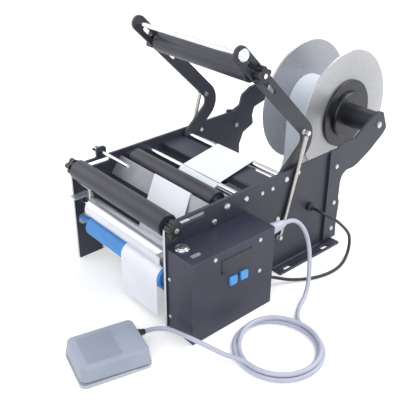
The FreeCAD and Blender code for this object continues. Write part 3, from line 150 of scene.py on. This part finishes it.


# the pale edge colours below paint rubbed edges together with a painted edge highlight
looks = {
    "navyPowderCoat": dict(colour=(43, 45, 59), second=(52, 54, 69), patch=60, rough=(0.34, 0.52),
                           grain=0.55, bump=0.22, depth=0.12, edge=0.5, edgeWearAndHighlight=(128, 132, 148)),
    "boxPowderCoat": dict(colour=(40, 42, 60), second=(47, 49, 68), patch=50, rough=(0.36, 0.52), grain=0.5,
                          bump=0.2, depth=0.1, edge=0.6, edgeWearAndHighlight=(120, 124, 146)),
    "armPowderCoat": dict(colour=(44, 45, 54), second=(54, 55, 65), patch=45, rough=(0.34, 0.5), grain=0.5,
                          bump=0.2, depth=0.1, edge=0.5, edgeWearAndHighlight=(110, 112, 122)),
    "blackRubber": dict(colour=(44, 45, 56), second=(52, 53, 65), patch=35, rough=(0.32, 0.46), grain=0.8,
                        bump=0.18, depth=0.1, edge=0.6),
    "blueRubber": dict(colour=(62, 134, 205), second=(74, 146, 215), patch=30, rough=(0.38, 0.52),
                       grain=0.7, bump=0.15, depth=0.1, edge=0.6),
    "chrome": dict(colour=(214, 216, 220), second=(226, 228, 232), patch=20, metal=1.0, rough=(0.1, 0.22),
                   grain=0.5, stretch=(30, 1, 1), bump=0.12, depth=0.03, edge=0.3),
    "zincPlate": dict(colour=(196, 198, 204), second=(214, 216, 222), patch=8, metal=1.0, rough=(0.2, 0.36),
                      grain=0.4, bump=0.15, depth=0.04, edge=0.25),
    "turnedAluminium": dict(colour=(205, 208, 216), second=(222, 224, 231), patch=40, metal=0.75,
                            rough=(0.26, 0.4), grain=0.35, stretch=(1, 60, 60), bump=0.3, depth=0.03,
                            edge=0.5),
    "satinBlade": dict(colour=(150, 150, 158), second=(164, 164, 172), patch=50, metal=0.35,
                       rough=(0.34, 0.46), grain=0.5, stretch=(60, 1, 1), bump=0.15, depth=0.03, edge=0.3),
    "greyBracket": dict(colour=(176, 178, 184), second=(196, 198, 203), patch=14, metal=0.6,
                        rough=(0.3, 0.45), grain=0.6, bump=0.15, depth=0.05, edge=0.4),
    "blackPlastic": dict(colour=(28, 30, 37), second=(35, 37, 45), patch=25, rough=(0.26, 0.4), grain=0.9,
                         bump=0.12, depth=0.08, edge=0.6),
    "knobPlastic": dict(colour=(20, 21, 25), second=(27, 28, 33), patch=10, rough=(0.24, 0.36), grain=0.7,
                        bump=0.12, depth=0.06, edge=0.8),
    "linerPaper": dict(colour=(236, 238, 247), second=(243, 244, 251), patch=40, rough=(0.3, 0.42),
                       grain=0.9, bump=0.06, depth=0.05),
    "rollPaper": dict(colour=(214, 224, 236), second=(236, 240, 246), patch=0.8, rough=(0.55, 0.7),
                      grain=0.4, bump=0.3, depth=0.1),
    "pedalPlastic": dict(colour=(156, 164, 180), second=(164, 172, 187), patch=40, rough=(0.36, 0.5),
                         grain=0.7, bump=0.25, depth=0.12, edge=1.0, soft=0.05),
    "pedalBasePlastic": dict(colour=(186, 189, 199), second=(194, 197, 206), patch=40, rough=(0.4, 0.52),
                             grain=0.7, bump=0.2, depth=0.1, edge=0.8),
    "greyCable": dict(colour=(184, 187, 204), second=(192, 195, 211), patch=30, rough=(0.3, 0.4), grain=0.8,
                      bump=0.05, depth=0.05, coat=0.15),
    "blackCable": dict(colour=(30, 30, 33), second=(38, 38, 41), patch=20, rough=(0.34, 0.46), grain=0.8,
                       bump=0.08, depth=0.05),
    "springSteel": dict(colour=(176, 174, 168), second=(200, 198, 192), patch=2.0, metal=1.0,
                        rough=(0.2, 0.34), grain=0.3, bump=0.1, depth=0.03),
    "blueButton": dict(colour=(74, 160, 228), second=(88, 174, 238), patch=6, rough=(0.26, 0.36), grain=0.5,
                       bump=0.05, depth=0.04, edge=0.5, soft=0.25),
    "displayLens": dict(colour=(24, 25, 38), second=(29, 30, 44), patch=20, rough=(0.12, 0.2), grain=0.6,
                        bump=0.03, depth=0.02, edge=0.3),
    "motorCase": dict(colour=(30, 31, 34), second=(40, 41, 44), patch=12, metal=0.2, rough=(0.4, 0.55),
                      grain=0.6, bump=0.2, depth=0.08, edge=0.4, edgeWearAndHighlight=(120, 122, 126)),
    "pulleyAluminium": dict(colour=(188, 190, 195), second=(204, 206, 211), patch=10, metal=1.0,
                            rough=(0.28, 0.42), grain=0.3, stretch=(1, 20, 20), bump=0.2, depth=0.03,
                            edge=0.3),
    "beltRubber": dict(colour=(26, 26, 28), second=(34, 34, 36), patch=8, rough=(0.6, 0.75), grain=0.5,
                       bump=0.2, depth=0.08),
    "circuitBoard": dict(colour=(30, 92, 58), second=(38, 104, 66), patch=6, rough=(0.35, 0.5), grain=0.8,
                         bump=0.2, depth=0.06, edge=0.3),
    "switchPlastic": dict(colour=(44, 44, 47), second=(54, 54, 57), patch=6, rough=(0.4, 0.5), grain=0.5,
                          bump=0.1, depth=0.05, edge=0.4),
}
finishes = {name: finishOf(name, look) for name, look in looks.items()}


# the hub colour and the left disc's blue are painted reflection of the black hub and of the blue labels
disc = {
    "hubRadius": 0.045, "rimRadius": 0.101, "ringPitch": 0.0007,
    "hubReflection": (168, 169, 174), "rimColour": (188, 188, 189), "leftBlueReflection": (138, 146, 168), "blueReflectionShare": 0.35,
}


def discFinish():
    # satin, with painted reflection: darker near the hub where the black hub is reflected, bluer on the left
    # disc where the blue labels are reflected, with faint turned rings about the reel's axis
    finish, tree, shader = newFinish("reelDiscSatin")
    low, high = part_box("reel_discs")
    centre = (Vector(low) + Vector(high)) / 2
    place = add(tree, "ShaderNodeTexCoord").outputs["Object"]
    moved = add(tree, "ShaderNodeVectorMath", {0: place, 1: tuple(centre)}, operation="SUBTRACT").outputs[0]
    parts = add(tree, "ShaderNodeSeparateXYZ", {0: moved})
    flat = add(tree, "ShaderNodeCombineXYZ", {1: parts.outputs[1], 2: parts.outputs[2]}).outputs[0]
    radius = add(tree, "ShaderNodeVectorMath", {0: flat}, operation="LENGTH").outputs["Value"]
    outward = remap(tree, radius, disc["hubRadius"], disc["rimRadius"])
    # darker near the hub: painted reflection of the black hub
    right = blendColour(tree, outward, linear(disc["hubReflection"]), linear(disc["rimColour"]))
    # bluer on the left disc: painted reflection of the blue labels
    left = blendColour(tree, disc["blueReflectionShare"], right, linear(disc["leftBlueReflection"]))
    colour = blendColour(tree, remap(tree, parts.outputs[0], -0.01, 0.01), left, right)
    tree.links.new(colour, shader.inputs["Base Color"])
    rings = calc(tree, "SINE", calc(tree, "MULTIPLY", radius, 2 * math.pi / disc["ringPitch"]))
    tree.links.new(remap(tree, noise(tree, 20.0), 0.3, 0.7, 0.26, 0.36), shader.inputs["Roughness"])
    bump = add(tree, "ShaderNodeBump", {"Strength": 0.05, "Distance": 0.02 * mm, "Height": rings})
    tree.links.new(bump.outputs[0], shader.inputs["Normal"])
    shader.inputs["Metallic"].default_value = 0.45
    return finish


def webFinish():
    # bare white paper
    finish, tree, shader = newFinish("printedLabels")
    shader.inputs["Base Color"].default_value = linear((240, 245, 250))
    shader.inputs["Roughness"].default_value = 0.45
    return finish


def plateFinish(name, look, paleFrontEdge):
    # powder coat, with the sheet's front-facing edge coloured pale
    finish = finishOf(name, look)
    tree = finish.node_tree
    shader = tree.nodes["Principled BSDF"]
    normal = add(tree, "ShaderNodeNewGeometry").outputs["True Normal"]
    place = add(tree, "ShaderNodeTexCoord").outputs["Object"]
    normalY, placeY = (add(tree, "ShaderNodeSeparateXYZ", {0: vector}).outputs[1] for vector in (normal, place))
    facesFront = calc(tree, "LESS_THAN", normalY, -0.9)
    front = calc(tree, "MULTIPLY", facesFront, calc(tree, "LESS_THAN", placeY, frontY + 3 * mm))
    old = shader.inputs["Base Color"].links[0].from_socket
    tree.links.new(blendColour(tree, front, old, linear(paleFrontEdge)), shader.inputs["Base Color"])
    return finish


finishes["reelDisc"] = discFinish()
finishes["labels"] = webFinish()
finishes["sidePlate"] = plateFinish("sidePlateCoat", looks["navyPowderCoat"], (214, 216, 224))

nodeFinishes = {
    "sidePlate": ["left_side_plate", "right_side_plate"],
    "navyPowderCoat": ["left_reel_bracket", "right_reel_bracket", "web_table"],
    "armPowderCoat": ["press_arm_left", "press_arm_right"],
    "boxPowderCoat": ["box_body", "box_cover"],
    "blackRubber": ["front_roller", "middle_roller", "press_roller"],
    "blueRubber": ["drive_roller"],
    "turnedAluminium": ["pinch_roller"],
    "chrome": ["cross_rods", "arm_pivot_shaft", "front_roller_shaft", "stop_screw", "pinch_shaft",
               "reel_shaft", "handle_rod", "press_roller_shaft", "pedal_pin", "power_switch_ring"],
    "zincPlate": ["frame_screws", "arm_stops_and_anchors", "hook_bolts", "drive_bearings", "box_sockets",
                  "power_button"],
    "satinBlade": ["peel_blade"],
    "greyBracket": ["pinch_brackets"],
    "blackPlastic": ["reel_hubs", "peel_bar", "cable_glands", "label_sensor"],
    "knobPlastic": ["front_knobs", "press_knobs"],
    "linerPaper": ["backing_liner"],
    "rollPaper": ["label_roll"],
    "reelDisc": ["reel_discs"],
    "springSteel": ["pinch_springs", "tension_springs", "pedal_spring"],
    "labels": ["label_web"],
    "blueButton": ["left_button", "right_button"],
    "displayLens": ["display_module"],
    "motorCase": ["drive_motor"],
    "pulleyAluminium": ["motor_pulley", "roller_pulley"],
    "beltRubber": ["drive_belt"],
    "circuitBoard": ["box_electronics"],
    "switchPlastic": ["pedal_switch"],
    "pedalPlastic": ["pedal_treadle"],
    "pedalBasePlastic": ["pedal_base"],
    "greyCable": ["pedal_cable", "pedal_cable_coil", "pedal_plug"],
    "blackCable": ["machine_lead"],
}
for finishName, nodeNames in nodeFinishes.items():
    for nodeName in nodeNames:
        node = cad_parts[nodeName]
        if not node.material_slots:
            node.data.materials.append(finishes[finishName])
        for slot in node.material_slots:
            slot.material = finishes[finishName]
print("finishes set on", sum(len(names) for names in nodeFinishes.values()), "nodes")


# A cord's points are its route's in the CAD solids, in machine millimetres.
def layCord(name, points, diameter, finish, body, nodes):
    curve = bpy.data.curves.new(name, "CURVE")
    curve.dimensions = "3D"
    spline = curve.splines.new("NURBS")
    spline.points.add(len(points) - 1)
    for spot, point in zip(spline.points, points):
        spot.co = (*at(*point), 1.0)
    spline.order_u = 3
    spline.use_endpoint_u = True
    spline.resolution_u = 10
    curve.bevel_depth = diameter / 2 * mm
    curve.bevel_resolution = 5
    curve.use_fill_caps = True
    curve.materials.append(finishes[finish])
    cord = bpy.data.objects.new(name, curve)
    bpy.context.collection.objects.link(cord)
    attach(cord, body)
    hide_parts(*nodes)
    return cord


pedalCable = {
    "diameter": 6.0,
    "length": 1.20,
    "fromPlug": [(146.0, 170.4, 108.0), (146.0, 184.4, 108.0), (149.0, 198.4, 100.0), (154.0, 208.4, 83.0),
                 (161.0, 210.4, 60.0), (170.0, 203.4, 38.0), (181.0, 190.4, 19.0), (190.0, 172.4, 7.0),
                 (196.0, 154.0, 4.4)],
    "toPedal": [(203.0, 16.5, 6.6), (181.0, 6.6, 12.0), (162.0, -3.2, 17.2), (143.0, -7.0, 16.0),
                (125.0, -8.5, 12.0), (107.65, -18.756, 8.6), (104.214, -32.534, 8.6)],
    "coilX": 232.0, "coilY": 77.0, "firstTurn": 54.9, "secondTurn": 48.4, "topTurn": 51.7,
    "floorZ": 3.25, "topZ": 8.7, "crossZ": 9.75, "startAngle": 108.0, "sweep": 945.0, "pointsPerTurn": 12,
    "stepIn": (290, 360), "climb": (590, 630), "stepOut": (625, 675), "floorUntil": 600, "topFrom": 720,
}


def shareOf(value, span):
    return max(0.0, min(1.0, (value - span[0]) / (span[1] - span[0])))


def coilPoints(c):
    # clockwise from the rear: a turn outside, a turn inside it, and the last one lying on both
    points = []
    step = 360.0 / c["pointsPerTurn"]
    grow = 1 / math.cos(math.radians(step / 2))
    for i in range(int(c["sweep"] / step) + 1):
        turn = i * step
        if turn < c["floorUntil"]:
            radius = c["firstTurn"] + (c["secondTurn"] - c["firstTurn"]) * shareOf(turn, c["stepIn"])
            height = c["floorZ"]
        elif turn < c["topFrom"]:
            radius = c["secondTurn"] + (c["topTurn"] - c["secondTurn"]) * shareOf(turn, c["stepOut"])
            height = c["floorZ"] + (c["crossZ"] - c["floorZ"]) * shareOf(turn, c["climb"])
        else:
            radius, height = c["topTurn"], c["topZ"]
        angle = math.radians(c["startAngle"] - turn)
        reach = radius * grow
        points.append((c["coilX"] + reach * math.cos(angle), c["coilY"] + reach * math.sin(angle), height))
    return points


route = pedalCable["fromPlug"] + coilPoints(pedalCable) + pedalCable["toPedal"]
cable = layCord("pedalCable", route, pedalCable["diameter"], "greyCable", "machine_frame",
                ["pedal_cable", "pedal_cable_coil"])

machineLead = {
    "diameter": 4.6,
    "length": 0.29,
    "route": [(117.0, 268.0, 82.0), (131.0, 268.0, 82.0), (142.0, 274.0, 77.0), (147.0, 287.0, 67.0),
              (148.0, 302.9, 51.8), (150.0, 315.8, 36.5), (152.0, 317.9, 24.7), (155.0, 313.8, 13.4),
              (159.0, 304.6, 5.9), (164.0, 292.0, 2.8), (169.0, 273.0, 2.7), (169.5, 251.0, 2.9),
              (164.0, 229.0, 2.7), (154.0, 209.0, 3.0), (143.0, 191.0, 5.0), (135.0, 176.0, 11.0),
              (131.0, 163.9, 16.0), (131.0, 151.4, 16.0)],
}
lead = layCord("machineLead", machineLead["route"], machineLead["diameter"], "blackCable", "machine_frame",
               ["machine_lead"])
print("cords laid")

cameraSet = {"place": (634.8, -401.2, 548.4), "yaw": 49.07, "pitch": 28.62, "roll": 0.2, "lens": 58.5}


def setCamera(c):
    camera = bpy.data.cameras.new("viewCamera")
    camera.lens = c["lens"]
    camera.sensor_width = 36
    camera.clip_start = 0.05
    camera.clip_end = 20
    view = bpy.data.objects.new("viewCamera", camera)
    bpy.context.collection.objects.link(view)
    yaw = Matrix.Rotation(math.radians(c["yaw"]), 4, "Z")
    pitch = Matrix.Rotation(math.radians(90 - c["pitch"]), 4, "X")
    roll = Matrix.Rotation(math.radians(c["roll"]), 4, "Z")
    view.matrix_world = Matrix.Translation(at(*c["place"])) @ yaw @ pitch @ roll
    bpy.context.scene.camera = view


setCamera(cameraSet)

lights = {
    "keyLight": dict(place=(0.55, 0.9, 1.5), size=1.1, power=17.0),
    "frontLight": dict(place=(0.9, -1.2, 1.1), size=1.6, power=11.0),
    "leftLight": dict(place=(-1.3, -0.7, 0.9), size=1.4, power=7.0),
}
lightsAimAt = Vector((0, 0, 0.1))


def setLights():
    for name, light in lights.items():
        lamp = bpy.data.lights.new(name, "AREA")
        lamp.energy = light["power"]
        lamp.size = light["size"]
        holder = bpy.data.objects.new(name, lamp)
        holder.location = light["place"]
        fromMiddle = Vector(light["place"]) - lightsAimAt
        holder.rotation_euler = fromMiddle.to_track_quat("Z", "Y").to_euler()
        bpy.context.collection.objects.link(holder)


room = {
    "skyColour": (0.93, 0.95, 1.0, 1), "skyStrength": 0.62,
    "floorHalf": 4.0, "floorColour": (0.86, 0.86, 0.85, 1), "floorGlow": 0.34,
}


def cameraOrMirror(tree):
    # what the camera sees straight, in a mirror or through a clear piece
    path = add(tree, "ShaderNodeLightPath")
    seen = calc(tree, "MAXIMUM", path.outputs["Is Camera Ray"], path.outputs["Is Glossy Ray"])
    return calc(tree, "MAXIMUM", seen, path.outputs["Is Transmission Ray"])


def setWorld():
    world = bpy.data.worlds.new("softRoom")
    world.use_nodes = True
    tree = world.node_tree
    tree.nodes.clear()
    plain = add(tree, "ShaderNodeBackground", {"Color": room["skyColour"], "Strength": room["skyStrength"]})
    white = add(tree, "ShaderNodeBackground", {"Color": (1, 1, 1, 1), "Strength": 1.0})
    shares = {0: cameraOrMirror(tree), 1: plain.outputs[0], 2: white.outputs[0]}
    mixed = add(tree, "ShaderNodeMixShader", shares)
    add(tree, "ShaderNodeOutputWorld", {"Surface": mixed.outputs[0]})
    bpy.context.scene.world = world


def setFloor():
    form = bmesh.new()
    bmesh.ops.create_grid(form, x_segments=1, y_segments=1, size=room["floorHalf"])
    mesh = bpy.data.meshes.new("studioFloor")
    form.to_mesh(mesh)
    form.free()
    finish, tree, shader = newFinish("paleFloor")
    shader.inputs["Base Color"].default_value = room["floorColour"]
    shader.inputs["Roughness"].default_value = 0.6
    shader.inputs["Emission Color"].default_value = (1, 1, 1, 1)
    glow = calc(tree, "MULTIPLY", cameraOrMirror(tree), room["floorGlow"])
    tree.links.new(glow, shader.inputs["Emission Strength"])
    mesh.materials.append(finish)
    floor = bpy.data.objects.new("studioFloor", mesh)
    bpy.context.collection.objects.link(floor)


setLights()
setWorld()
setFloor()
bpy.context.scene.view_settings.view_transform = "Standard"
print("camera, light and floor set")
